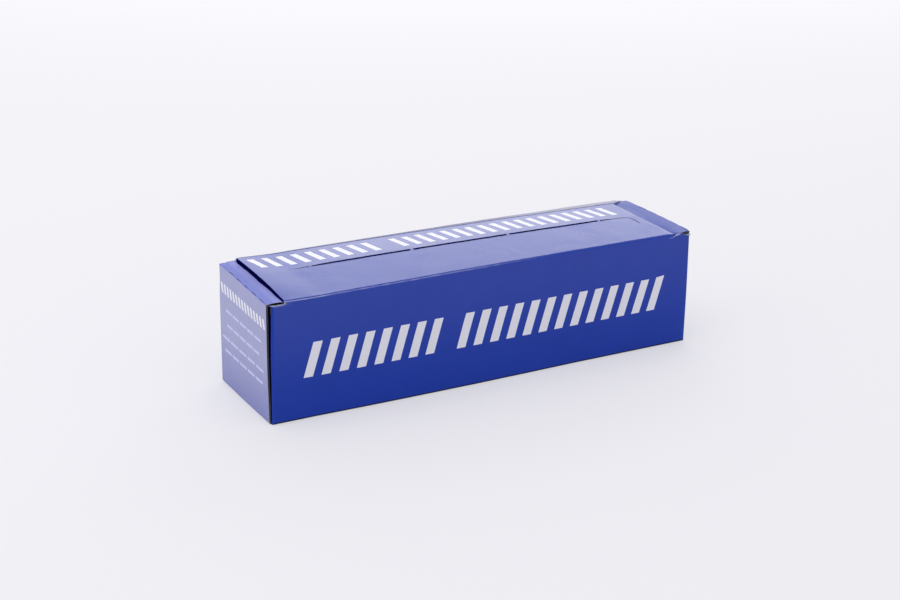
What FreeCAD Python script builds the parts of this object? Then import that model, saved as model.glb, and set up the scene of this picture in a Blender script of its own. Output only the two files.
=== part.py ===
"""Closed dispenser carton of micro-corrugated board, full of its roll of aluminium foil.

One folded sheet makes the tube, the lid with its tear line, the end panels and their strips.
X runs along the carton, -Y is the front face, +Z is up, the origin is at the bottom centre.
"""
import FreeCAD
import Part
import math
import os

from FreeCAD import Vector

# Overall sizes, in millimetres: strip_top is the body's height, and the lid lies lid_gap above it
length = 314.0
depth = 80.0
strip_top = 80.4
lid_gap = 0.8

# Board and its folds
board = 1.2
liner = 0.2
flute_pitch = 2.3
flute_depth = 1.0
fold_radius = 1.6
crease_radius = 0.7

# End panels, their strips over the top and the dust flaps behind them
end_set_back_front = 2.4
end_set_back_rear = 1.0
flap_gap = 0.5
groove_depth = 3.0
rim_drop = 0.8
rim_slot_depth = 8.0
dash_length = 6.5
dash_pitch = 12.5
dash_depth = 0.6
dash_margin = 4.0

# Lid outline over the strips, measured in from the ends
lid_inset_left = 10.5
lid_inset_right_front = 15.0
lid_inset_right_rear = 18.3
lid_undercut = 2.5
hinge_width_left = 3.5
hinge_width_right = 9.0
hinge_drop = 0.8
hinge_flare = 1.57

# Tear line of the lid: offsets from the left end, the right end and the front face
tear_start = 33.0
tear_corner_inset = 24.0
tear_offset_left = 45.8
tear_offset_right = 42.0
tear_radius = 6.0
tear_tail = 8.2
tear_width = 0.7
nick_first = 14.0
nick_pitch = 72.5
nick_width = 2.2

# Glued seam low on the back face
seam_height = 2.0
seam_width = 0.4
seam_depth = 0.8

# Room that a cutting tool keeps outside the body
over = 5.0

left = -length / 2
right = length / 2
front = -depth / 2
back = depth / 2
lid_top = strip_top + lid_gap + board
strip_floor = strip_top - board
rim_top = strip_top - rim_drop
tube_inset = board + flap_gap


def outline(points):
    """Closed straight-sided wire through the points."""
    return Part.makePolygon(points + [points[0]])


def prism(points, travel):
    """Straight-sided solid, the outline moved along travel."""
    return Part.Face(outline(points)).extrude(travel)


def block(x0, x1, y0, y1, z0, z1):
    """Box between two corners."""
    return Part.makeBox(x1 - x0, y1 - y0, z1 - z0, Vector(x0, y0, z0))


def turn_arc(start, centre, end):
    """Quarter turn of a fold from start to end, bulging away from its centre."""
    middle = (start + end) / 2 - centre
    middle.normalize()
    return Part.Arc(start, centre + middle * (start - centre).Length, end).toShape()


def line(start, end):
    return Part.LineSegment(start, end).toShape()


def tube_section(x, hinge_width):
    """Outer section of the folded tube at x, with rounded folds and the sloping hinge band."""
    r = fold_radius
    rear_top = lid_top - hinge_drop
    low_front = turn_arc(Vector(x, front + r, 0), Vector(x, front + r, r), Vector(x, front, r))
    high_front = turn_arc(Vector(x, front, lid_top - r), Vector(x, front + r, lid_top - r),
                          Vector(x, front + r, lid_top))
    high_rear = turn_arc(Vector(x, back - r, rear_top), Vector(x, back - r, rear_top - r),
                         Vector(x, back, rear_top - r))
    low_rear = turn_arc(Vector(x, back, r), Vector(x, back - r, r), Vector(x, back - r, 0))
    hinge = Vector(x, back - hinge_width, lid_top)
    edges = [
        low_front,
        line(Vector(x, front, r), Vector(x, front, lid_top - r)),
        high_front,
        line(Vector(x, front + r, lid_top), hinge),
        line(hinge, Vector(x, back - r, rear_top)),
        high_rear,
        line(Vector(x, back, rear_top - r), Vector(x, back, r)),
        low_rear,
        line(Vector(x, back - r, 0), Vector(x, front + r, 0)),
    ]
    return Part.Wire(edges)


def corner_mask():
    """Upright block in plan, with the round folds from the front and back panels to the dust flaps."""
    mask = block(left + tube_inset, right - tube_inset, front, back, -over, lid_top + over)
    upright = [e for e in mask.Edges if abs(e.tangentAt(e.FirstParameter).z) > 0.5]
    return mask.makeFillet(fold_radius, upright)


def tube():
    """Front, bottom, back and top as one folded tube with its filling."""
    sections = [tube_section(left + tube_inset, hinge_width_left),
                tube_section(right - tube_inset, hinge_width_right)]
    return Part.makeLoft(sections, True, True).common(corner_mask())


def lid_side(inset_front, inset_rear, hinge_width, side):
    """Corners of the lid's side edge from front to back, flared out along the hinge band."""
    end = side * length / 2
    return [(end - side * inset_front, front),
            (end - side * inset_rear, back - hinge_width),
            (end - side * (inset_rear - hinge_flare * hinge_width), back)]


def side_edges(side):
    """The lid's side edge at one end of the carton."""
    if side < 0:
        return lid_side(lid_inset_left, lid_inset_left, hinge_width_left, side)
    return lid_side(lid_inset_right_front, lid_inset_right_rear, hinge_width_right, side)


def beyond_lid(side, reach_in, y0, y1, z0, z1):
    """Everything past the lid's side edge, or past a line reach_in under the lid."""
    (xf, _), (xr, yr), (xe, _) = side_edges(side)
    shift = -side * reach_in
    outer = side * (length / 2 + over)
    plan = [Vector(xf + shift, front - over, z0), Vector(xf + shift, front, z0),
            Vector(xr + shift, yr, z0), Vector(xe + shift, back, z0),
            Vector(xe + shift, back + over, z0), Vector(outer, back + over, z0),
            Vector(outer, front - over, z0)]
    return prism(plan, Vector(0, 0, z1 - z0)).common(block(left - over, right + over, y0, y1, z0, z1))


def end_recess(side):
    """Room over the strip's floor, over the lower rims, behind the front rim and under the lid's edge."""
    inner_front = front + board
    inner_rear = back - board
    high = lid_top + over
    floor = beyond_lid(side, 0, inner_front, inner_rear, strip_floor, high)
    rims = beyond_lid(side, 0, front - over, back + over, rim_top, high)
    hinge_line = side_edges(side)[1][1]
    under = beyond_lid(side, lid_undercut, inner_front, hinge_line, strip_top, lid_top - board)
    slot = beyond_lid(side, 0, inner_front, front + end_set_back_front, strip_top - rim_slot_depth, high)
    return [floor, rims, under, slot, wing_slope(side)]


def wing_slope(side):
    """Room over the flared wing of the hinge band, which falls from the lid to the strip at its tip."""
    _, (xr, _), (xe, _) = side_edges(side)
    outer = side * (length / 2 + over)
    high = lid_top + over
    y = front - over
    profile = [Vector(xr, y, lid_top), Vector(xe, y, strip_top), Vector(outer, y, strip_top),
               Vector(outer, y, high), Vector(xr, y, high)]
    return prism(profile, Vector(0, depth + 2 * over, 0))


def end_profile(side):
    """Section of the end panel: bottom fold, upright panel, creased top fold and strip under the lid."""
    end = side * length / 2
    inward = -side
    strip_end = end + inward * (max(lid_inset_left, lid_inset_right_rear) + lid_undercut)
    heel = end + inward * (board + fold_radius + groove_depth)
    y = front + end_set_back_front
    r = fold_radius
    c = crease_radius
    edges = [
        line(Vector(heel, y, 0), Vector(end + inward * r, y, 0)),
        turn_arc(Vector(end + inward * r, y, 0), Vector(end + inward * r, y, r), Vector(end, y, r)),
        line(Vector(end, y, r), Vector(end, y, strip_top - c)),
        turn_arc(Vector(end, y, strip_top - c), Vector(end + inward * c, y, strip_top - c),
                 Vector(end + inward * c, y, strip_top)),
        line(Vector(end + inward * c, y, strip_top), Vector(strip_end, y, strip_top)),
        line(Vector(strip_end, y, strip_top), Vector(strip_end, y, strip_floor)),
        line(Vector(strip_end, y, strip_floor), Vector(end + inward * board, y, strip_floor)),
        line(Vector(end + inward * board, y, strip_floor), Vector(end + inward * board, y, board)),
        line(Vector(end + inward * board, y, board), Vector(heel, y, board)),
        line(Vector(heel, y, board), Vector(heel, y, 0)),
    ]
    return Part.Wire(edges)


def end_panel(side):
    """End panel with its strip, and the flap seam behind it filled up to the open corner grooves."""
    y0 = front + end_set_back_front
    y1 = back - end_set_back_rear
    sheet = Part.Face(end_profile(side)).extrude(Vector(0, y1 - y0, 0))
    inner = side * (length / 2 - board)
    behind = side * (length / 2 - tube_inset - board)
    seam = block(min(inner, behind), max(inner, behind), y0 + groove_depth, y1 - groove_depth,
                 board, strip_floor)
    return sheet.fuse(seam)


def flute_row(origin, along, across, into, run):
    """Open flute ends of a raw board edge: two rows of triangles that leave the wavy medium."""
    count = int(run // flute_pitch)
    start = (run - count * flute_pitch) / 2
    low = liner
    high = board - liner
    web = liner / 2
    half = flute_pitch / 2
    cells = []
    for i in range(count):
        a = start + i * flute_pitch
        wide = [(a + web * 2, low), (a + flute_pitch - web * 2, low), (a + half, high - web)]
        cells.append(wide)
        if i < count - 1:
            cells.append([(x + half, low + high - z) for x, z in wide])
    solids = []
    for cell in cells:
        points = [origin + along * x + across * z for x, z in cell]
        solids.append(prism(points, into * flute_depth))
    return solids


def raw_edges(side):
    """Flute ends on the upright edges of the end panel, on the strip and on the lower rims."""
    end = side * length / 2
    inward = Vector(-side, 0, 0)
    up = Vector(0, 0, 1)
    y_front = front + end_set_back_front
    y_rear = back - end_set_back_rear
    panel_run = strip_floor - 2 * fold_radius
    strip_run = lid_inset_left - 2 * board
    rim_start = tube_inset + fold_radius
    rim_run = lid_inset_left - rim_start
    cells = []
    for y, into in ((y_front, Vector(0, 1, 0)), (y_rear, Vector(0, -1, 0))):
        cells += flute_row(Vector(end, y, fold_radius), up, inward, into, panel_run)
        strip_corner = Vector(end, y, strip_floor) + inward * board
        cells += flute_row(strip_corner, inward, up, into, strip_run)
    for y, across in ((front, Vector(0, 1, 0)), (back, Vector(0, -1, 0))):
        rim_corner = Vector(end, y, rim_top) + inward * rim_start
        cells += flute_row(rim_corner, inward, across, Vector(0, 0, -1), rim_run)
    return cells


def crease_dashes(side):
    """Cuts of the perforated crease between an end panel and its strip."""
    end = side * length / 2
    first = front + end_set_back_front + dash_margin
    last = back - end_set_back_rear - dash_margin
    count = int((last - first - dash_length) // dash_pitch) + 1
    dashes = []
    for i in range(count):
        y = first + i * dash_pitch
        dashes.append(block(end - dash_depth, end + dash_depth, y, y + dash_length,
                            strip_top - dash_depth, strip_top + over))
    return dashes


def tear_straight():
    """Ends of the straight part of the tear line, before it bends to the front."""
    start = Vector(left + tear_start, front + tear_offset_left, 0)
    corner = Vector(right - tear_corner_inset, front + tear_offset_right, 0)
    return start, corner


def tear_piece(start, direction, run):
    """One straight cut of the tear line through the lid's board."""
    side = Vector(-direction.y, direction.x, 0) * (tear_width / 2)
    base = start + Vector(0, 0, lid_top - board)
    far = base + direction * run
    return prism([base - side, far - side, far + side, base + side], Vector(0, 0, board + over))


def tear_bend(start, direction):
    """Rounded end of the tear line: it turns from direction to the front, then runs straight."""
    sweep = math.degrees(math.atan2(direction.y, direction.x)) + 90.0
    centre = start + Vector(direction.y, -direction.x, 0) * tear_radius
    base = Vector(centre.x, centre.y, lid_top - board)
    outer = Part.makeCylinder(tear_radius + tear_width / 2, board + over, base, Vector(0, 0, 1), sweep)
    inner = Part.makeCylinder(tear_radius - tear_width / 2, board + over, base, Vector(0, 0, 1), sweep)
    tail_start = centre + Vector(tear_radius, 0, 0)
    return [outer.cut(inner), tear_piece(tail_start, Vector(0, -1, 0), tear_tail)]


def tear_line():
    """Cuts of the tear line, with the short nicks left whole that keep the carton shut."""
    start, corner = tear_straight()
    direction = corner - start
    direction.normalize()
    straight_end = corner - direction * tear_radius
    run = (straight_end - start).Length
    cuts = []
    at = 0.0
    nick = nick_first
    while nick + nick_width < run:
        cuts.append(tear_piece(start + direction * at, direction, nick - at))
        at = nick + nick_width
        nick += nick_pitch
    cuts.append(tear_piece(start + direction * at, direction, run - at))
    return cuts + tear_bend(straight_end, direction)


def back_seam():
    """Line low on the back where the back panel's raw edge meets the glued flap."""
    return block(left + tube_inset + fold_radius, right - tube_inset - fold_radius,
                 back - seam_depth, back + over, seam_height, seam_height + seam_width)


def foil_carton():
    """The whole closed carton as one solid."""
    body = tube()
    cuts = [back_seam()]
    for side in (-1, 1):
        cuts += end_recess(side)
    body = body.cut(cuts)
    body = body.fuse([end_panel(-1), end_panel(1)])
    details = tear_line()
    for side in (-1, 1):
        details += raw_edges(side) + crease_dashes(side)
    return body.cut(details).removeSplitter()


def main():
    carton = foil_carton()
    solid = carton.Solids[0]
    box = solid.BoundBox
    print("solids", len(carton.Solids), "valid", carton.isValid())
    print("size", round(box.XLength, 3), round(box.YLength, 3), round(box.ZLength, 3))
    print("volume", round(solid.Volume, 1), "faces", len(solid.Faces))
    os.makedirs("parts", exist_ok=True)
    solid.exportStep("parts/foil_carton.step")


main()
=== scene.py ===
"""Looks of a closed corrugated carton for a roll of foil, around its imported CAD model."""
import math

import bmesh
import bpy
from mathutils import Matrix, Vector, noise


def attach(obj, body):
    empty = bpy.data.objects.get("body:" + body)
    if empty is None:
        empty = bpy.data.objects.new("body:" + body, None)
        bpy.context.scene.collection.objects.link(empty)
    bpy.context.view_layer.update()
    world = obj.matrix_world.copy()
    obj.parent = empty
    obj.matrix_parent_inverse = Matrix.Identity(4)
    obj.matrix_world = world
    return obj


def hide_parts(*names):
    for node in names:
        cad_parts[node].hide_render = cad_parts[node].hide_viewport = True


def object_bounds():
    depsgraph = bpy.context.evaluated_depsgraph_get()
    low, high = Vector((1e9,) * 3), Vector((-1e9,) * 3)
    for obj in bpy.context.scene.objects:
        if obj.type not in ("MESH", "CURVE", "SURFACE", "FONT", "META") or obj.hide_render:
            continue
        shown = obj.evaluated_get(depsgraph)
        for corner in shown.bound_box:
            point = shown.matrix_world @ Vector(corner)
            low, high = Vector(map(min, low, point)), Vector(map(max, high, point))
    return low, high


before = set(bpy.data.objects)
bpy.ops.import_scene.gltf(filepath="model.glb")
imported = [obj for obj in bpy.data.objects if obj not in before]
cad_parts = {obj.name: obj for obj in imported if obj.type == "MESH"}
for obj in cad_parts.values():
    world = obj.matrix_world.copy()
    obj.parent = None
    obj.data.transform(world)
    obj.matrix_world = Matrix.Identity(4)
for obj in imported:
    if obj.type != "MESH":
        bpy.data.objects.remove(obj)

MM = 0.001
X, Y, Z = range(3)
CAD_LOW, CAD_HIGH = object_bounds()

# Sizes that the looks share with the carton, in millimetres
LENGTH = (CAD_HIGH.x - CAD_LOW.x) / MM
DEPTH = (CAD_HIGH.y - CAD_LOW.y) / MM
LID_TOP = (CAD_HIGH.z - CAD_LOW.z) / MM
BOARD = 1.2
LID_GAP = 0.8
RIM_DROP = 0.8
STRIP_TOP = LID_TOP - BOARD - LID_GAP
RIM_TOP = STRIP_TOP - RIM_DROP
FOLD = 1.6
CREASE = 0.7
WING_CUT = 0.3
TUBE_INSET = 1.7
SET_BACK_FRONT = 2.4
SET_BACK_REAR = 1.0
LID_INSET_LEFT = 10.5
LID_INSET_RIGHT_FRONT = 15.0
LID_INSET_RIGHT_REAR = 18.3
HINGE_WIDTH_LEFT = 3.5
HINGE_WIDTH_RIGHT = 9.0
HINGE_SCORE = 0.5
TEAR_START = 33.0
TEAR_LEFT = 45.8
TEAR_RIGHT = 42.0
TEAR_CORNER_INSET = 24.0
TEAR_BEND = 6.0
FLUTE_PITCH = 2.3
PERFORATION_PITCH = 12.5
CUT_EDGE_REACH = 1.05
LEFT = -LENGTH / 2
RIGHT = LENGTH / 2
FRONT = -DEPTH / 2
BACK = DEPTH / 2

# Print: groups of bars as start, end and count, then their low and high edges, ink share and lean
FRONT_BAR_GROUPS = ((22.0, 120.4, 8), (130.0, 292.5, 13))
FRONT_BAR_EDGES = (28.4, 52.2)
FRONT_BAR_SHARE = 0.52
FRONT_BAR_LEAN = 7.0
LID_BAR_GROUPS = ((18.4, 107.0, 9), (119.0, 290.0, 18))
LID_BAR_EDGES = (7.4, 24.0)
LID_BAR_SHARE = 0.45
LID_BAR_LEAN = -4.0
HEADING_START_LEFT = 4.5
HEADING_START_RIGHT = 2.0
HEADING_RUN = 73.0
HEADING_EDGES = (62.6, 69.0)
HEADING_COUNT = 15
HEADING_SHARE = 0.55
HEADING_LEAN = 2.0
# Broken lines of the end panels: start, run and height of each, then their half width, count and share
END_LINES = ((11.5, 58.0, 52.5), (14.5, 53.0, 43.0), (8.5, 67.0, 33.4), (10.5, 62.0, 24.9))
END_LINE_HALF = 0.9
END_LINE_COUNT = 5
END_LINE_SHARE = 0.86
# Pale worn streak below the torn flap, as one leaning bar
FLAP_STREAK = (RIGHT - 20.0, RIGHT - 13.0, RIM_TOP - 0.9, RIM_TOP - 0.1, 4.0)

# Side of the small faces, and the angle between faces from which an edge is shaded sharp
GRID = 4.0
SHARP = math.radians(35)

# Uneven top of the real carton: rise at its middle, slope and curve along X, for the two long edges
REAR_RISE = (1.75, -0.35, -0.85)
FOLD_RISE = (-1.2, 0.35, -0.6)
# Rise of the end strips at their front and rear corners
LEFT_STRIP_RISE = (-0.6, 1.4)
RIGHT_STRIP_RISE = (0.0, 0.3)
RIGHT_CREASE_RISE = 0.5
# Height by which the lid's left edge stands off its strip: at its front, more at its middle, at its rear
LEFT_LIFT = (0.3, 2.0, 0.8)
LID_ARCH = 0.5
LEFT_RIM_SINK = 0.1
# Right front corner: the torn flap covers the gap up to here, and past it the strip's end is crushed
FLAP_REACH = 7.0
RIGHT_RIM_SINK = 1.1
FLAP_RISE = 0.7
FLAP_SHUT = 1.15
CRUSH_DEPTH = 0.7
CRUSH_GRAIN = 0.45
# Tear line: step up behind it, gape as shares of half its width, and length over which it opens and closes
TEAR_STEP = 0.35
TEAR_SHUT = 0.7
TEAR_GAPE = 2.3
TEAR_END_CLOSE = 1.5
TAIL_OPEN = 0.1
TEAR_FADE = 30.0
TEAR_STEP_FADE = 22.0
# Sag of the strips beside the lid, its ripple, and the give of their perforated crease
STRIP_SAG = 0.1
STRIP_RIPPLE = 1.0
CREASE_GIVE = 0.3
# How far the end panels stand out, at their front edge, at their rear edge and more at mid-bottom
END_OUT_FRONT = 1.1
END_OUT_REAR = 0.5
END_BULGE = 0.3
RIGHT_END_SHARE = 0.5
# How far the end panels' rear edges and the right one's front edge shift to the back
END_REAR_SHIFT = 0.5
RIGHT_END_FRONT_SHIFT = 1.5
# How far the tube's right and left front corners stand out with the end panels
CORNER_OUT_RIGHT = 1.0
CORNER_OUT_LEFT = 0.7
# Bottom edge of the front panel: how far it bellies out, where and how wide
BELLY = 1.1
BELLY_MIDDLE = -30.0
BELLY_HALF = 95.0
# Bow of the front and back, and small waves of the board
SIDE_BOW = 0.4
SIDE_WAVE = 0.12
TOP_WAVE = 0.14
TOP_RIPPLE = 0.10

# Camera that saw the carton: turned to the carton's left, above it, with a slight roll
CAMERA_PLACE = (-543.3, -955.8, 458.3)
CAMERA_TARGET = (-9.69, 0.0, 45.05)
CAMERA_ROLL = 0.914
CAMERA_FOCAL = 1753.9
PICTURE_WIDTH = 900.0
SENSOR = 36.0


def near(value, goal, slack=0.02):
    """Whether a value is within slack of a goal."""
    return abs(value - goal) < slack


def smooth(value, low, high):
    """Smooth step from 0 at low to 1 at high."""
    t = min(max((value - low) / (high - low), 0.0), 1.0)
    return t * t * (3 - 2 * t)


# Faces: which surface of the folded board each one lies on

ZONES = ["dark", "end", "bottom", "strip", "lid", "front", "back", "fold", "corner", "rim", "raw", "dash",
         "wing", "flap", "band", "groove", "foot"]


def end_zone(c, n):
    """Surface of an end panel, its strip and its cut edges, for a face at the carton's end."""
    at_front = near(c.y, FRONT + SET_BACK_FRONT, CUT_EDGE_REACH) and n.y < 0.95
    at_rear = near(c.y, BACK - SET_BACK_REAR, CUT_EDGE_REACH) and n.y > -0.95
    if abs(n.x) > 0.9 and near(abs(c.x), RIGHT):
        return "end"
    if n.z < -0.05 and c.z < FOLD and abs(n.y) < 0.5:
        return "bottom"
    if n.z > 0.05 and c.z > STRIP_TOP - CREASE - 0.05 and abs(n.y) < 0.1:
        return "strip"
    # The perforated crease is painted in mid-blue shade.
    if c.z > STRIP_TOP - 0.7 and abs(c.x) > RIGHT - 0.7 and abs(c.y) < BACK - 4:
        return "dash"
    if (at_front or at_rear) and abs(c.x) > RIGHT - BOARD - 0.02:
        return "raw"
    # Dust flaps and inner faces are painted in navy shade.
    return "dark"


def beside_lid_rear(c):
    """Whether a point is under the lid's flared wing, behind the straight part of its side edge."""
    inset = LID_INSET_LEFT if c.x < 0 else LID_INSET_RIGHT_REAR
    width = HINGE_WIDTH_LEFT if c.x < 0 else HINGE_WIDTH_RIGHT
    return c.z > RIM_TOP and c.y > BACK - width and abs(c.x) > RIGHT - inset - 0.01


def strip_end_zone(c, n):
    """Surface of a strip's front or rear end, or of the low wall under the lid's flared wing."""
    if c.y > 0:
        return "raw" if n.y > 0.9 else "wing"
    if c.x < 0:
        # At the front, the left strip's end is painted in black shade.
        return "groove"
    return "raw" if c.x > RIGHT - FLAP_REACH else "flap"


def outward_zone(c, n):
    """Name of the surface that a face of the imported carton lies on."""
    if abs(c.x) > RIGHT - TUBE_INSET + 0.01:
        return end_zone(c, n)
    beside_lid = abs(c.x) > RIGHT - LID_INSET_RIGHT_REAR
    if beside_lid and RIM_TOP - CUT_EDGE_REACH < c.z < STRIP_TOP - 0.01:
        at_front = near(c.y, FRONT + SET_BACK_FRONT, CUT_EDGE_REACH)
        at_rear = near(c.y, BACK - SET_BACK_REAR, CUT_EDGE_REACH)
        if (at_front or at_rear) and abs(n.z) < 0.9:
            return strip_end_zone(c, n)
        if abs(c.y) > BACK - BOARD and (n.z > 0.9 or abs(n.z) < 0.05 and c.z < RIM_TOP - 0.01):
            if c.y < 0 < c.x < RIGHT - FLAP_REACH:
                return "flap"
            return "rim" if near(c.z, RIM_TOP) else "raw"
    # The strip's top under the lid is painted in navy shade.
    if n.z > 0.9 and near(c.z, STRIP_TOP):
        return "dark" if inside_lid(c) > 0 else "strip"
    if n.z < -0.9 and near(c.z, 0.0):
        return "bottom"
    under_cut = n.z > 0.99 and near(c.z, LID_TOP - BOARD)
    if n.z > 0.8 and c.z > STRIP_TOP + 0.05 and not under_cut:
        if c.x < LEFT + LID_INSET_LEFT - 0.01 and c.y > BACK - HINGE_WIDTH_LEFT - 0.01:
            # The sliver between the wing's cut and the lid's edge is painted in navy shade.
            return "dark" if c.x > LEFT + LID_INSET_LEFT - WING_CUT else "strip"
        return "lid"
    if near(c.y, FRONT) and n.y < -0.9:
        return "front"
    if near(c.y, BACK) and n.y > 0.9:
        return "back"
    if beside_lid_rear(c) and abs(n.z) < 0.5:
        return "wing"
    on_fold = abs(n.x) < 0.05 and min(abs(n.y), abs(n.z)) > 0.05
    if on_fold and abs(c.y) > BACK - FOLD and c.z < FOLD:
        return "foot"
    if on_fold and abs(c.y) > BACK - FOLD and c.z > LID_TOP - FOLD - 1.2:
        return "band" if c.y > 0 else "fold"
    on_corner = abs(n.z) < 0.05 and min(abs(n.x), abs(n.y)) > 0.05
    if on_corner and abs(c.y) > BACK - FOLD and abs(c.x) > RIGHT - TUBE_INSET - FOLD:
        return "corner"
    if c.y < FRONT + FOLD and abs(n.x) > 0.9 and c.z > RIM_TOP:
        return "rim"
    # The front corner beside the left strip's end is painted in black shade, the remaining hidden faces in
    # navy shade.
    return "groove" if beside_lid and c.y < FRONT + 4 and c.x < 0 else "dark"


# Print: plain leaning bars that spell nothing, cut as parallelograms into the surface that they lie on

def leaning_bars(start, end, low, high, count, share, lean):
    """Row of even bars from start to end, which fill share of it and lean by that many millimetres."""
    pitch = (end - start - abs(lean)) / (count - 1 + share)
    bars = []
    for i in range(count):
        a = start + i * pitch
        bars.append((a, a + pitch * share, low, high, lean))
    return bars


def bar_groups(groups, edges, share, lean):
    """Groups of bars along the carton, measured from its left end."""
    bars = []
    for start, end, count in groups:
        bars += leaning_bars(LEFT + start, LEFT + end, *edges, count, share, lean)
    return bars


def front_bars():
    """Two groups of tall bars across the front panel."""
    return bar_groups(FRONT_BAR_GROUPS, FRONT_BAR_EDGES, FRONT_BAR_SHARE, FRONT_BAR_LEAN)


def lid_bars():
    """Two groups of bars on the lid's rear half. Their edges are measured from the tear line."""
    return bar_groups(LID_BAR_GROUPS, LID_BAR_EDGES, LID_BAR_SHARE, LID_BAR_LEAN)


def end_heading(side):
    """Row of small bars high on the end panel."""
    start = FRONT + (HEADING_START_LEFT if side < 0 else HEADING_START_RIGHT)
    end = start + HEADING_RUN
    return leaning_bars(start, end, *HEADING_EDGES, HEADING_COUNT, HEADING_SHARE, HEADING_LEAN)


def end_lines(side):
    """Four thin broken lines on the end panel."""
    bars = []
    for start, run, middle in END_LINES:
        first = FRONT + (start if side < 0 else DEPTH - start - run)
        low, high = middle - END_LINE_HALF, middle + END_LINE_HALF
        bars += leaning_bars(first, first + run, low, high, END_LINE_COUNT, END_LINE_SHARE, 0.0)
    return bars


def bisect(bm, faces, normal, at):
    """Cuts the given faces along the plane normal · p = at."""
    geometry = set(faces)
    for face in faces:
        geometry.update(face.edges)
        geometry.update(face.verts)
    bmesh.ops.bisect_plane(bm, geom=list(geometry), dist=1e-5, plane_co=normal * at, plane_no=normal)


def cut_grid(bm, axis, low, high, step):
    """Divides the whole carton by even planes across one axis."""
    normal = Vector((axis == X, axis == Y, axis == Z))
    count = round((high - low) / step)
    for i in range(1, count):
        bisect(bm, bm.faces[:], normal, low + (high - low) * i / count)


def cut_beside_tear(bm, step):
    """Divides the whole carton by even upright planes along the tear line, which lies midway."""
    slope = (TEAR_RIGHT - TEAR_LEFT) / (LENGTH - TEAR_START - TEAR_CORNER_INSET)
    across = Vector((-slope, 1, 0))
    at = tear_y(0) - step / 2 - step * math.floor(DEPTH / 2 / step)
    while at < BACK + 2:
        bisect(bm, bm.faces[:], across.normalized(), at / across.length)
        at += step


def zone_faces(bm, layer, code, side=0):
    """Faces of one surface, or of its part at one side of the carton."""
    found = [f for f in bm.faces if f[layer] == code]
    if side:
        found = [f for f in found if f.calc_center_median().x * side > 0]
    return found


def print_bars(bm, zones, code, across, up, bars, ink, inks, side=0, base=None):
    """Cuts the outlines of the bars into one surface and gives the faces inside them their ink."""
    base = base or (lambda a: 0.0)
    slope = (base(RIGHT) - base(LEFT)) / LENGTH
    axis_a = Vector((across == X, across == Y, across == Z))
    axis_b = Vector((up == X, up == Y, up == Z))
    level = axis_b - axis_a * slope
    for at in sorted({edge for bar in bars for edge in bar[2:4]}):
        bisect(bm, zone_faces(bm, zones, code, side), level.normalized(), (at + base(0.0)) / level.length)
    for a0, a1, low, high, lean in bars:
        tilt = axis_a - level * (lean / (high - low))
        for a in (a0, a1):
            offset = a - (low + base(0.0)) * lean / (high - low)
            bisect(bm, zone_faces(bm, zones, code, side), tilt.normalized(), offset / tilt.length)
    for face in zone_faces(bm, zones, code, side):
        centre = face.calc_center_median()
        b = centre[up] - base(centre[across])
        for a0, a1, low, high, lean in bars:
            a = centre[across] - (b - low) * lean / (high - low)
            if a0 < a < a1 and low < b < high:
                face[inks] = ink


# Inks, in the order of the carton's materials

BLUE, WHITE, LILAC, RAW, RIM, PAINTED_SHADE, CREASE_SHADE, DEEP, BAND, STRIP, BLACK = range(11)

# Painted shade: navy for gaps, under the lid and hidden folds, mid blue along the perforated crease, black
# in the front corner grooves; the foot line along the bottom folds is the same black.
INK_OF_ZONE = {"dark": PAINTED_SHADE, "rim": RIM, "raw": RAW, "dash": CREASE_SHADE, "front": DEEP, "back": DEEP,
               "bottom": DEEP, "corner": DEEP, "band": BAND, "groove": BLACK, "foot": BLACK, "flap": DEEP}


# Shape: soft unevenness of folded board

def tear_y(x):
    """Place of the tear line across the lid, at x."""
    share = (x - LEFT - TEAR_START) / (LENGTH - TEAR_START - TEAR_CORNER_INSET)
    return FRONT + TEAR_LEFT + (TEAR_RIGHT - TEAR_LEFT) * share


def hinge_y(x):
    """Place of the crease between the lid and the hinge band, at x."""
    return BACK - HINGE_WIDTH_LEFT - (HINGE_WIDTH_RIGHT - HINGE_WIDTH_LEFT) * (x - LEFT) / LENGTH


def inside_lid(p):
    """Distance of a point inside the lid's side edges."""
    share = (p.y - FRONT) / DEPTH
    right_inset = LID_INSET_RIGHT_FRONT + (LID_INSET_RIGHT_REAR - LID_INSET_RIGHT_FRONT) * share
    return min(p.x - LEFT - LID_INSET_LEFT, RIGHT - right_inset - p.x)


def curve(values, x):
    """Height at x of a curve given by its middle, slope and bend."""
    s = x / RIGHT
    return values[0] + values[1] * s + values[2] * s * s


def blend(pair, y):
    """Straight change from the first value at the front to the second at the back."""
    return pair[0] + (pair[1] - pair[0]) * (y - FRONT) / DEPTH


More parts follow.
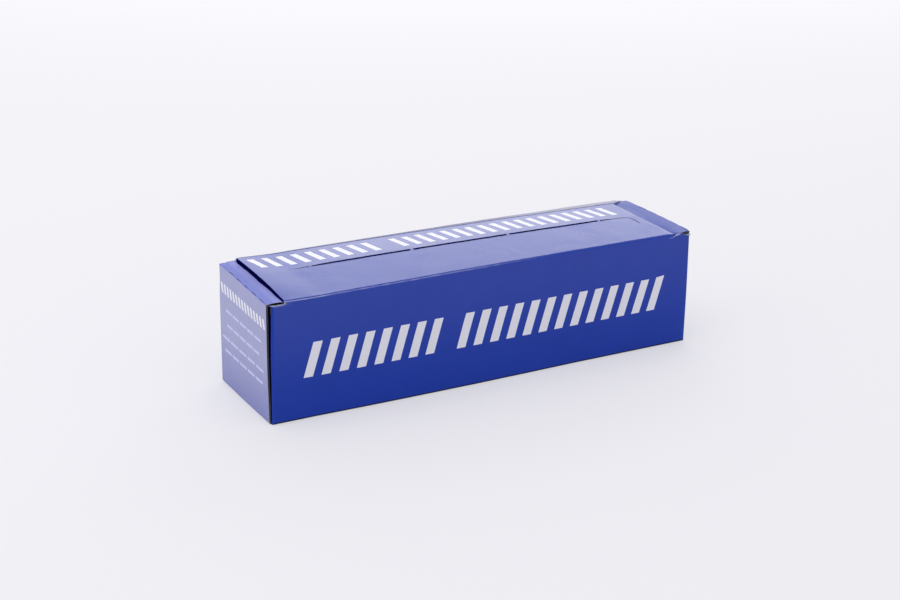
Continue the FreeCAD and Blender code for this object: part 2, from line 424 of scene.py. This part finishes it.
def top_rise(p):
    """How much higher than nominal the top is at a point: lid, body under it, and end strips."""
    lid = blend((curve(FOLD_RISE, p.x), curve(REAR_RISE, p.x)), p.y)
    lid += LID_ARCH * arch(p.y) * arch_along(p.x)
    strip = blend(LEFT_STRIP_RISE if p.x < 0 else RIGHT_STRIP_RISE, p.y)
    if p.x < 0 and p.y < FRONT + BOARD + 0.05:
        strip -= LEFT_RIM_SINK * (1 - smooth(inside_lid(p), -3.0, 0.0))
    if p.x > 0:
        strip += RIGHT_CREASE_RISE * arch(p.y) * smooth(p.x, RIGHT - 14.0, RIGHT - 1.0)
        if p.y < FRONT + BOARD + 0.05:
            crushed = smooth(p.x, RIGHT - FLAP_REACH - 1.5, RIGHT - FLAP_REACH + 1.5)
            strip += FLAP_RISE - (FLAP_RISE + RIGHT_RIM_SINK) * crushed
    inside = inside_lid(p)
    body = strip + (lid - strip) * smooth(inside, -1.0, 20.0)
    if inside > -0.5:
        near_left = 1 - smooth(inside, 0.0, 14.0) if p.x < 0 else 0.0
        on_lid = smooth(p.z, STRIP_TOP - 4.0 + 2.6 * near_left, STRIP_TOP + 0.5 + 2.0 * near_left)
    else:
        on_lid = smooth(p.z, STRIP_TOP, STRIP_TOP + 1.2)
    return body + (lid - body) * on_lid


def arch(y):
    """From 0 at the front and back to 1 midway."""
    return math.sin(math.pi * min(max((y - FRONT) / DEPTH, 0.0), 1.0))


def arch_along(x):
    """From 0 at the ends to 1 midway."""
    return 1 - (2 * x / LENGTH) ** 2


def edge_lift(p):
    """The lid's left edge stands off the strip."""
    inside = inside_lid(p)
    if p.x > 0 or p.z < STRIP_TOP + 0.5 or inside < -0.05:
        return 0.0
    front, middle, rear = LEFT_LIFT
    lift = blend((front, rear), p.y) + (middle - (front + rear) / 2) * arch(p.y)
    return lift * (1 - smooth(inside, 0.0, 28.0))


def tear_open(p):
    """The tear line gapes along its middle, and is narrow at its start and in its rounded end."""
    off = p.y - tear_y(p.x)
    start = LEFT + TEAR_START
    tail = RIGHT - TEAR_CORNER_INSET
    end = tail - TEAR_BEND
    if p.z < STRIP_TOP + 0.9 or not start - 1 < p.x < tail + 1:
        return 0.0, 0.0
    if abs(off) < 0.5 and p.x < end:
        gape = TEAR_GAPE * smooth(p.x, start, start + TEAR_FADE)
        return 0.0, off * (gape - TEAR_END_CLOSE * smooth(p.x, end - TEAR_FADE, end) - TEAR_SHUT)
    centre = tear_y(end) - TEAR_BEND
    if p.y < centre and abs(p.x - tail) < 0.5:
        return (p.x - tail) * TAIL_OPEN, 0.0
    radial = math.hypot(p.x - end, p.y - centre)
    if p.x > end and p.y > centre and abs(radial - TEAR_BEND) < 0.5:
        opening = TAIL_OPEN * (1 - TEAR_BEND / radial)
        return (p.x - end) * opening, (p.y - centre) * opening
    return 0.0, 0.0


def tear_step(p):
    """The lid's rear part stands up along the tear line and slopes down to the hinge."""
    line = tear_y(p.x)
    if p.z < STRIP_TOP + 0.9 or p.y < line + 0.1:
        return 0.0
    start = LEFT + TEAR_START
    end = RIGHT - TEAR_CORNER_INSET - TEAR_BEND
    along = smooth(p.x, start, start + TEAR_FADE) * (1 - smooth(p.x, end - TEAR_STEP_FADE, end))
    return TEAR_STEP * along * (1 - smooth(p.y, line, BACK - 4))


def strip_dip(p):
    """The end strips sag and ripple beside the lid, and their perforated crease gives."""
    if abs(p.z - STRIP_TOP) > 0.8 or inside_lid(p) > 0:
        return 0.0
    close = smooth(inside_lid(p), -7.0, -0.5)
    ripple = noise.noise(Vector((3.0, p.y * 0.11, 0.5)))
    slot = max(math.sin(2 * math.pi * (p.y - FRONT) / PERFORATION_PITCH), 0.0)
    crease = smooth(abs(p.x), RIGHT - 1.6, RIGHT - 0.6) * slot
    return arch(p.y) * close * (STRIP_SAG + STRIP_RIPPLE * ripple) + CREASE_GIVE * crease


def stand_out(p):
    """How far an end panel's point stands out along X, and the tube's front corners with it."""
    high = p.z / STRIP_TOP
    inward = RIGHT - abs(p.x)
    if inward < TUBE_INSET - 0.01 or (p.z > STRIP_TOP - BOARD - 0.1 and inside_lid(p) < 0):
        rear = END_OUT_REAR - 0.7 * smooth(high, 0.7, 1.0)
        front = END_OUT_FRONT * (0.4 + 0.6 * smooth(high, 0.0, 0.5))
        out = blend((front, rear), p.y) + END_BULGE * arch(p.y) * (1 - high)
        return out * (1 - smooth(inward, TUBE_INSET, 9.0)) * (RIGHT_END_SHARE if p.x > 0 else 1.0)
    if p.y < FRONT + 5 and inward < 14:
        if p.x > 0:
            corner = CORNER_OUT_RIGHT * (1 - smooth(high, 0.4, 1.2))
        else:
            corner = CORNER_OUT_LEFT * (1 - smooth(high, 0.5, 1.0))
        return corner * (1 - smooth(inward, TUBE_INSET + 1, 14.0))
    return 0.0


def flap_shut(p):
    """The torn flap lies against the front panel and hides the gap beside the lid."""
    if not RIGHT - LID_INSET_RIGHT_FRONT - 0.1 < p.x < RIGHT - FLAP_REACH + 1.0 or p.z < RIM_TOP - 1.1:
        return 0.0
    if not FRONT + BOARD + 0.1 < p.y < FRONT + SET_BACK_FRONT + 0.1:
        return 0.0
    return FLAP_SHUT * (1 - smooth(p.x, RIGHT - FLAP_REACH - 1.0, RIGHT - FLAP_REACH + 1.0))


def crush(p):
    """The broken end of the right strip at the front."""
    if p.x < RIGHT - FLAP_REACH or p.y > FRONT + SET_BACK_FRONT + BOARD or p.z < STRIP_TOP - BOARD - 0.1:
        return Vector()
    return noise.noise_vector(p * CRUSH_GRAIN) * CRUSH_DEPTH


def settle(p):
    """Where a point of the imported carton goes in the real, slightly uneven one, in millimetres."""
    on_left_wing = p.x < LEFT + LID_INSET_LEFT - WING_CUT / 2 and p.y > BACK - HINGE_WIDTH_LEFT - 0.01
    if on_left_wing and p.z > STRIP_TOP:
        p = Vector((p.x, p.y, STRIP_TOP + 0.03 * (p.z - STRIP_TOP)))
    q = p + crush(p)
    wave = noise.noise(Vector((p.x * 0.05, p.y * 0.05, p.z * 0.03)))
    ripple = noise.noise(Vector((p.x * 0.16, p.y * 0.16, 7.0)))
    q.z += top_rise(p) * smooth(p.z, 10.0, STRIP_TOP - 4.0) + tear_step(p) + edge_lift(p) - strip_dip(p)
    opened = tear_open(p)
    q.x += opened[0] + math.copysign(stand_out(p), p.x)
    q.y += opened[1] - flap_shut(p)
    if p.z > STRIP_TOP - 1.5:
        q.z += TOP_WAVE * wave + TOP_RIPPLE * ripple
    bow = arch_along(p.x) * math.sin(math.pi * min(max(p.z / LID_TOP, 0), 1))
    if p.y < FRONT + 2:
        belly = max(1 - ((p.x - BELLY_MIDDLE) / BELLY_HALF) ** 2, 0.0) * (1 - smooth(p.z, 5.0, 50.0))
        q.y -= SIDE_BOW * bow + BELLY * belly + SIDE_WAVE * wave
    if p.y > BACK - 2:
        q.y += SIDE_BOW * bow + SIDE_WAVE * wave
    if abs(p.x) > RIGHT - TUBE_INSET:
        q.y += END_REAR_SHIFT * smooth(p.y, BACK - 6.0, BACK - 1.0)
        if p.x > 0:
            q.y += RIGHT_END_FRONT_SHIFT * (1 - smooth(p.y, FRONT + SET_BACK_FRONT, FRONT + 8.0))
    return q


# Sheen: how far the ink is paled, from 0 for deep blue to 1: painted sheen for the varnish's reflection,
# and on the front fold and left front corner rubbed wear with a painted highlight

# End panels at their bottom, middle and top, strips on the left and right, fold (wear with a painted
# highlight) at its left and on
END_SHEEN = (0.36, 0.70, 0.68)
STRIP_SHEEN = (0.5, 0.0)
STRIP_EDGE_SHEEN = 0.5
STRIP_FOLD_SHEEN = 0.5
WING_SHEEN = 0.8
WORN_CORNER_SHEEN = 0.8
LID_SHEEN = 0.01
REAR_SHEEN = 0.25
FLAP_SHEEN = 0.45
FRONT_SHEEN = 0.05
WORN_FOLD_SHEEN = (0.9, 0.45)
WORN_PATCHES = 0.8


def lid_sheen(p):
    """Painted sheen: the lid is paler behind the tear line."""
    rear = smooth(p.y, tear_y(p.x) - 0.2, tear_y(p.x) + 0.2)
    along = smooth(p.x, LEFT + 20, LEFT + 75) * (1 - 0.35 * smooth(p.x, RIGHT - 70, RIGHT - 25))
    return LID_SHEEN + REAR_SHEEN * rear * along


def band_sheen(p):
    """Painted reflection: the hinge band is grey where it is narrow and paler to the right."""
    return smooth(p.x, LEFT + 130, RIGHT - 35)


def end_sheen(p):
    """Painted sheen: the end panels are paler from their middle up."""
    share = p.z / STRIP_TOP
    low, middle, high = END_SHEEN
    if share < 0.5:
        return low + (middle - low) * share * 2
    return middle + (high - middle) * (share - 0.5) * 2


def fold_wear_and_sheen(p, n):
    """A paler, patchy line where the front fold turns to the lid: rubbed wear with a painted highlight."""
    patchy = WORN_PATCHES + WORN_PATCHES * noise.noise(Vector((p.x * 0.2, 0.0, 0.0)))
    fresh = smooth(p.x, LEFT + 12, LEFT + 60)
    first, later = WORN_FOLD_SHEEN
    paling = (first + (later - first) * fresh) * patchy
    paling *= 1 - smooth(p.x, LEFT + 120, LEFT + 210)
    if n.z > 0.8:
        return LID_SHEEN
    return max(paling, 0.0) if n.z > 0.4 else 0.0


def strip_sheen(p, n):
    """Painted sheen: the left strip is paler beside the lid, and both are pale where they turn down to the
    end panel.
    """
    if n.z < 0.95:
        return STRIP_FOLD_SHEEN
    if p.x > 0:
        return STRIP_SHEEN[1]
    return STRIP_SHEEN[0] + STRIP_EDGE_SHEEN * smooth(inside_lid(p), -5.0, -1.0)


def sheen_and_wear(zone, p, n):
    """Painted sheen, and rubbed wear on the front fold, of a point on a face of the given zone and normal.
    """
    if zone == "end":
        return end_sheen(p)
    if zone == "strip":
        return strip_sheen(p, n)
    if zone == "lid":
        return lid_sheen(p)
    if zone == "front":
        # Front: painted reflection, paler toward the top, and at the top of the left corner rubbed wear
        # with a painted highlight.
        worn_and_highlit_corner = smooth(p.z, RIM_TOP - 1.2, RIM_TOP) * (1 - smooth(p.x, LEFT + 8, LEFT + 13))
        return FRONT_SHEEN * smooth(p.z, 8, 76) + WORN_CORNER_SHEEN * worn_and_highlit_corner
    # Wing walls and the torn flap: painted sheen.
    if zone == "wing":
        return WING_SHEEN
    if zone == "flap":
        return FLAP_SHEEN
    if zone == "band":
        return band_sheen(p)
    if zone == "fold":
        return fold_wear_and_sheen(p, n)
    return 0.0


def mark_creases(bm, zones, inks):
    """The scored crease in front of the hinge band, painted in shade, and the band itself."""
    lid = ZONES.index("lid")
    slope = (HINGE_WIDTH_RIGHT - HINGE_WIDTH_LEFT) / LENGTH
    across = Vector((slope, 1, 0))
    for offset in (-HINGE_SCORE, HINGE_SCORE):
        bisect(bm, zone_faces(bm, zones, lid), across.normalized(), (hinge_y(0) + offset) / across.length)
    for face in zone_faces(bm, zones, lid):
        centre = face.calc_center_median()
        behind = centre.y - hinge_y(centre.x)
        if behind > -HINGE_SCORE:
            face[inks] = PAINTED_SHADE if behind < HINGE_SCORE else BAND
            face[zones] = ZONES.index("band")


def mark_zones(bm, zones, inks):
    """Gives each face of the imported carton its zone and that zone's ink."""
    for face in bm.faces:
        face.normal_update()
        zone = outward_zone(face.calc_center_median(), face.normal)
        face[zones] = ZONES.index(zone)
        face[inks] = INK_OF_ZONE.get(zone, BLUE)
        if zone in ("strip", "wing"):
            # The left strip and wing take the ink whose pale is the strip's painted sheen.
            face[inks] = DEEP if face.calc_center_median().x > 0 else STRIP


def print_all(bm, zones, inks):
    """Prints the bars on the front, the lid and both end panels."""
    front = ZONES.index("front")
    end = ZONES.index("end")
    print_bars(bm, zones, front, X, Z, front_bars(), WHITE, inks)
    print_bars(bm, zones, front, X, Z, [FLAP_STREAK], LILAC, inks)
    print_bars(bm, zones, ZONES.index("lid"), X, Y, lid_bars(), WHITE, inks, base=tear_y)
    for side in (-1, 1):
        print_bars(bm, zones, end, Y, Z, end_heading(side), WHITE, inks, side)
        print_bars(bm, zones, end, Y, Z, end_lines(side), LILAC, inks, side)


def mark_sheen_and_wear(bm, zones, inks):
    """Gives each face its material and each of its corners its painted sheen and wear."""
    sheen_layer = bm.loops.layers.float.new("sheen_and_wear")
    for face in bm.faces:
        face.material_index = face[inks]
        zone = ZONES[face[zones]]
        centre = face.calc_center_median()
        for loop in face.loops:
            loop[sheen_layer] = sheen_and_wear(zone, loop.vert.co.lerp(centre, 0.02), face.normal)


def carton_mesh(node):
    """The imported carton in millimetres, cut into small faces, marked, printed and settled."""
    bm = bmesh.new()
    bm.from_mesh(node.data)
    bmesh.ops.scale(bm, vec=(1 / MM, 1 / MM, 1 / MM), verts=bm.verts[:])
    bmesh.ops.remove_doubles(bm, verts=bm.verts[:], dist=0.0005)
    bmesh.ops.dissolve_limit(bm, angle_limit=math.radians(0.2), verts=bm.verts[:], edges=bm.edges[:])
    bisect(bm, bm.faces[:], Vector((1, 0, 0)), LEFT + LID_INSET_LEFT - WING_CUT)
    bisect(bm, bm.faces[:], Vector((1, 0, 0)), RIGHT - FLAP_REACH)
    bisect(bm, bm.faces[:], Vector((0, 1, 0)), FRONT + FOLD)
    zones = bm.faces.layers.int.new("zone")
    inks = bm.faces.layers.int.new("ink")
    mark_zones(bm, zones, inks)
    cut_grid(bm, X, LEFT, RIGHT, GRID)
    cut_beside_tear(bm, GRID)
    cut_grid(bm, Z, 0.0, LID_TOP, GRID)
    mark_creases(bm, zones, inks)
    print_all(bm, zones, inks)
    mark_sheen_and_wear(bm, zones, inks)
    for vert in bm.verts:
        vert.co = settle(vert.co) * MM
    bm.normal_update()
    for face in bm.faces:
        face.smooth = True
    for edge in bm.edges:
        edge.smooth = len(edge.link_faces) == 2 and edge.calc_face_angle() < SHARP
    mesh = bpy.data.meshes.new("carton")
    bm.to_mesh(mesh)
    bm.free()
    return mesh


# Materials

class Nodes:
    """Short way to add and join shader nodes."""

    def __init__(self, material):
        material.use_nodes = True
        self.tree = material.node_tree
        self.shader = self.tree.nodes["Principled BSDF"]

    def add(self, kind, **values):
        node = self.tree.nodes.new(kind)
        for name, value in values.items():
            setattr(node, name, value)
        return node

    def link(self, source, target):
        self.tree.links.new(source, target)

    def math(self, operation, a, b=0.0):
        node = self.add("ShaderNodeMath", operation=operation)
        for socket, value in zip(node.inputs, (a, b)):
            if hasattr(value, "is_output"):
                self.link(value, socket)
            else:
                socket.default_value = value
        return node.outputs[0]

    def mix(self, factor, a, b):
        node = self.add("ShaderNodeMix", data_type="RGBA")
        for socket, value in ((node.inputs[0], factor), (node.inputs[6], a), (node.inputs[7], b)):
            if hasattr(value, "is_output"):
                self.link(value, socket)
            elif socket.type == "RGBA":
                socket.default_value = (*value, 1.0)
            else:
                socket.default_value = value
        return node.outputs[2]

    def noise(self, scale, detail):
        coords = self.add("ShaderNodeTexCoord").outputs["Object"]
        node = self.add("ShaderNodeTexNoise")
        node.inputs["Scale"].default_value = scale
        node.inputs["Detail"].default_value = detail
        self.link(coords, node.inputs["Vector"])
        return node.outputs["Fac"]

    def relief(self, height, strength, distance):
        bump = self.add("ShaderNodeBump")
        bump.inputs["Strength"].default_value = strength
        bump.inputs["Distance"].default_value = distance
        self.link(height, bump.inputs["Height"])
        self.link(bump.outputs[0], self.shader.inputs["Normal"])


def linear(red, green, blue):
    """Linear colour from the 0 to 255 values of a screen colour."""
    return tuple(((v / 255 + 0.055) / 1.055) ** 2.4 if v > 10 else v / 255 / 12.92
                 for v in (red, green, blue))


DEEP_BLUE = (linear(0, 48, 157), linear(3, 54, 166))
# Pale blue that the sheen attribute mixes into the ink: painted sheen, and rubbed wear on the front fold.
SHEEN_AND_WEAR_BLUE = linear(173, 174, 206)
# Clearer pale of the left strip: painted sheen.
STRIP_SHEEN_BLUE = linear(166, 170, 236)
# Grey and pale of the hinge band: painted reflection.
BAND_DIM_SHEEN = linear(128, 130, 168)
BAND_PALE_SHEEN = linear(176, 176, 196)
PRINT_IOR = 1.5


def washboard(n):
    """Faint ridges of the flutes under the liner: across X, or across Z on the end panels."""
    coords = n.add("ShaderNodeTexCoord")
    place = n.add("ShaderNodeSeparateXYZ")
    n.link(coords.outputs["Object"], place.inputs[0])
    facing = n.add("ShaderNodeSeparateXYZ")
    n.link(coords.outputs["Normal"], facing.inputs[0])
    on_end = n.math("GREATER_THAN", n.math("ABSOLUTE", facing.outputs[0]), 0.7)
    pick = n.add("ShaderNodeMix", data_type="FLOAT")
    n.link(on_end, pick.inputs[0])
    n.link(place.outputs[0], pick.inputs[2])
    n.link(place.outputs[2], pick.inputs[3])
    turns = n.math("MULTIPLY", pick.outputs[0], 2 * math.pi / (FLUTE_PITCH * MM))
    return n.math("SINE", turns)


def gloss(n, mottle, roughness, ior):
    """Soft varnish gloss, with the flute ridges and the paper's grain in relief."""
    rough = n.math("ADD", roughness - 0.05, n.math("MULTIPLY", mottle, 0.1))
    n.link(rough, n.shader.inputs["Roughness"])
    grain = n.noise(900, 2)
    height = n.math("ADD", n.math("MULTIPLY", washboard(n), 0.5), n.math("MULTIPLY", grain, 0.2))
    n.relief(height, 0.12, 0.00006)
    n.shader.inputs["IOR"].default_value = ior


def uneven_sheen_and_wear(n, mottle, spread):
    """The mesh's painted sheen and wear attribute, made a little uneven by the mottle."""
    own = n.add("ShaderNodeAttribute", attribute_name="sheen_and_wear").outputs["Fac"]
    return n.math("MULTIPLY", own, n.math("ADD", 1 - spread / 2, n.math("MULTIPLY", mottle, spread)))


def blue_ink(name, roughness, ior, pale=SHEEN_AND_WEAR_BLUE):
    """Deep blue ink under varnish, paled by the sheen and wear attribute: painted sheen, and rubbed wear
    on the front fold.
    """
    material = bpy.data.materials.new(name)
    n = Nodes(material)
    mottle = n.noise(60, 3)
    deep = n.mix(mottle, *DEEP_BLUE)
    n.link(n.mix(uneven_sheen_and_wear(n, mottle, 0.2), deep, pale), n.shader.inputs["Base Color"])
    gloss(n, mottle, roughness, ior)
    return material


def band_sheen_ink(name):
    """Hinge band in painted reflection: grey, and pale where the sheen attribute says."""
    material = bpy.data.materials.new(name)
    n = Nodes(material)
    mottle = n.noise(60, 3)
    paling = uneven_sheen_and_wear(n, mottle, 0.3)
    n.link(n.mix(paling, BAND_DIM_SHEEN, BAND_PALE_SHEEN), n.shader.inputs["Base Color"])
    gloss(n, mottle, 0.5, 1.2)
    return material


def coated(name, colour, roughness, spread):
    """Coated printing board in one ink, with a faint mottle and a soft gloss."""
    material = bpy.data.materials.new(name)
    n = Nodes(material)
    mottle = n.noise(60, 3)
    darker = tuple(v * (1 - spread) for v in colour)
    lighter = tuple(v * (1 + spread) for v in colour)
    n.link(n.mix(mottle, darker, lighter), n.shader.inputs["Base Color"])
    gloss(n, mottle, roughness, PRINT_IOR)
    return material


def raw_board(name, low, high):
    """Cut edge of the board: paper fibres between a darker and a lighter colour."""
    material = bpy.data.materials.new(name)
    n = Nodes(material)
    fibres = n.noise(1400, 4)
    n.link(n.mix(fibres, low, high), n.shader.inputs["Base Color"])
    n.shader.inputs["Roughness"].default_value = 0.9
    n.relief(fibres, 0.5, 0.0001)
    return material


def shade(name, colour):
    """Dull dark colour: painted shade in gaps, grooves and on the lid's left edge, also the black line
    along the bottom folds.
    """
    material = bpy.data.materials.new(name)
    n = Nodes(material)
    n.shader.inputs["Base Color"].default_value = (*colour, 1.0)
    n.shader.inputs["Roughness"].default_value = 0.9
    n.shader.inputs["Specular IOR Level"].default_value = 0.05
    return material


# Pieces

def carton():
    """The whole folded carton, with its materials in the order of the inks."""
    mesh = carton_mesh(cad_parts["foil_carton"])
    piece = bpy.data.objects.new("folded_carton", mesh)
    bpy.context.scene.collection.objects.link(piece)
    mesh.materials.append(blue_ink("blue_ink", 0.26, 1.5))
    mesh.materials.append(coated("white_print", linear(228, 228, 236), 0.34, 0.02))
    mesh.materials.append(coated("lilac_print", linear(190, 190, 235), 0.34, 0.02))
    mesh.materials.append(raw_board("raw_edge", linear(26, 24, 34), linear(112, 108, 120)))
    mesh.materials.append(raw_board("pale_rim", linear(140, 143, 165), linear(190, 192, 208)))
    # Navy painted shade in gaps, under the lid and on hidden folds.
    mesh.materials.append(shade("painted_shade_navy", linear(0, 0, 92)))
    # Perforated crease of the end strips: painted shade.
    mesh.materials.append(coated("crease_shade", linear(94, 94, 158), 0.4, 0.1))
    mesh.materials.append(blue_ink("deep_ink", 0.34, 1.33))
    # Hinge band: painted reflection in grey and pale.
    mesh.materials.append(band_sheen_ink("hinge_band_sheen"))
    # Left strip: paled by painted sheen.
    mesh.materials.append(blue_ink("strip_sheen_ink", 0.4, 1.15, STRIP_SHEEN_BLUE))
    # Black painted shade in the front corner grooves, also the black line along the bottom folds.
    mesh.materials.append(shade("black_groove_shade_and_foot", linear(14, 12, 18)))
    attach(piece, "root")
    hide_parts("foil_carton")


# Stage

FLOOR_COLOUR = linear(240, 239, 243)
FLOOR_OWN_SHARE = 0.5


def floor_paint():
    """Pale matt floor, seen partly at its own colour, so that the shadow on it stays soft."""
    material = bpy.data.materials.new("floor_white")
    n = Nodes(material)
    n.shader.inputs["Base Color"].default_value = (*FLOOR_COLOUR, 1.0)
    n.shader.inputs["Roughness"].default_value = 0.8
    n.shader.inputs["Specular IOR Level"].default_value = 0.1
    rays = n.add("ShaderNodeLightPath").outputs
    bounced = n.math("MAXIMUM", rays["Is Glossy Ray"], rays["Is Transmission Ray"])
    seen = n.math("MAXIMUM", rays["Is Camera Ray"], bounced)
    own = n.add("ShaderNodeEmission")
    own.inputs["Color"].default_value = (*FLOOR_COLOUR, 1.0)
    own.inputs["Strength"].default_value = 1.0
    mixed = n.add("ShaderNodeMixShader")
    n.link(n.math("MULTIPLY", seen, FLOOR_OWN_SHARE), mixed.inputs[0])
    n.link(n.shader.outputs[0], mixed.inputs[1])
    n.link(own.outputs[0], mixed.inputs[2])
    n.link(mixed.outputs[0], n.tree.nodes["Material Output"].inputs["Surface"])
    return material


def pale_floor():
    """Pale table top that runs out of the picture."""
    size = 6.0
    mesh = bpy.data.meshes.new("floor")
    corners = [(-size, -size, 0), (size, -size, 0), (size, size, 0), (-size, size, 0)]
    mesh.from_pydata(corners, [], [(0, 1, 2, 3)])
    floor = bpy.data.objects.new("floor", mesh)
    bpy.context.scene.collection.objects.link(floor)
    mesh.materials.append(floor_paint())


def studio_world():
    """Even white surroundings."""
    world = bpy.data.worlds.new("studio")
    bpy.context.scene.world = world
    world.use_nodes = True
    background = world.node_tree.nodes["Background"]
    background.inputs["Color"].default_value = (*linear(250, 250, 254), 1.0)
    background.inputs["Strength"].default_value = 0.75


def softbox(name, place, aim, size, power):
    """Large soft lamp."""
    lamp = bpy.data.lights.new(name, "AREA")
    lamp.shape = "RECTANGLE"
    lamp.size, lamp.size_y = size
    lamp.energy = power
    holder = bpy.data.objects.new(name, lamp)
    bpy.context.scene.collection.objects.link(holder)
    direction = Vector(aim) - Vector(place)
    holder.rotation_euler = direction.to_track_quat("-Z", "Y").to_euler()
    holder.location = place


def camera():
    """The photograph's viewpoint."""
    data = bpy.data.cameras.new("camera")
    data.sensor_width = SENSOR
    data.lens = CAMERA_FOCAL * SENSOR / PICTURE_WIDTH
    holder = bpy.data.objects.new("camera", data)
    bpy.context.scene.collection.objects.link(holder)
    place = Vector(CAMERA_PLACE) * MM
    aim = (Vector(CAMERA_TARGET) * MM - place).normalized()
    turn = aim.to_track_quat("-Z", "Y").to_matrix() @ Matrix.Rotation(math.radians(CAMERA_ROLL), 3, "Z")
    holder.matrix_world = Matrix.Translation(place) @ turn.to_4x4()
    bpy.context.scene.camera = holder


bpy.context.scene.view_settings.view_transform = "Standard"
camera()
carton()
pale_floor()
studio_world()
softbox("back_box", (0.95, 1.65, 0.85), (0, 0, 0.05), (2.8, 1.1), 14)
softbox("top_box", (-0.7, -0.1, 2.2), (0, 0, 0.05), (1.6, 1.6), 9)
softbox("left_box", (-1.5, 0.1, 0.8), (0, 0, 0.05), (1.4, 1.2), 4)
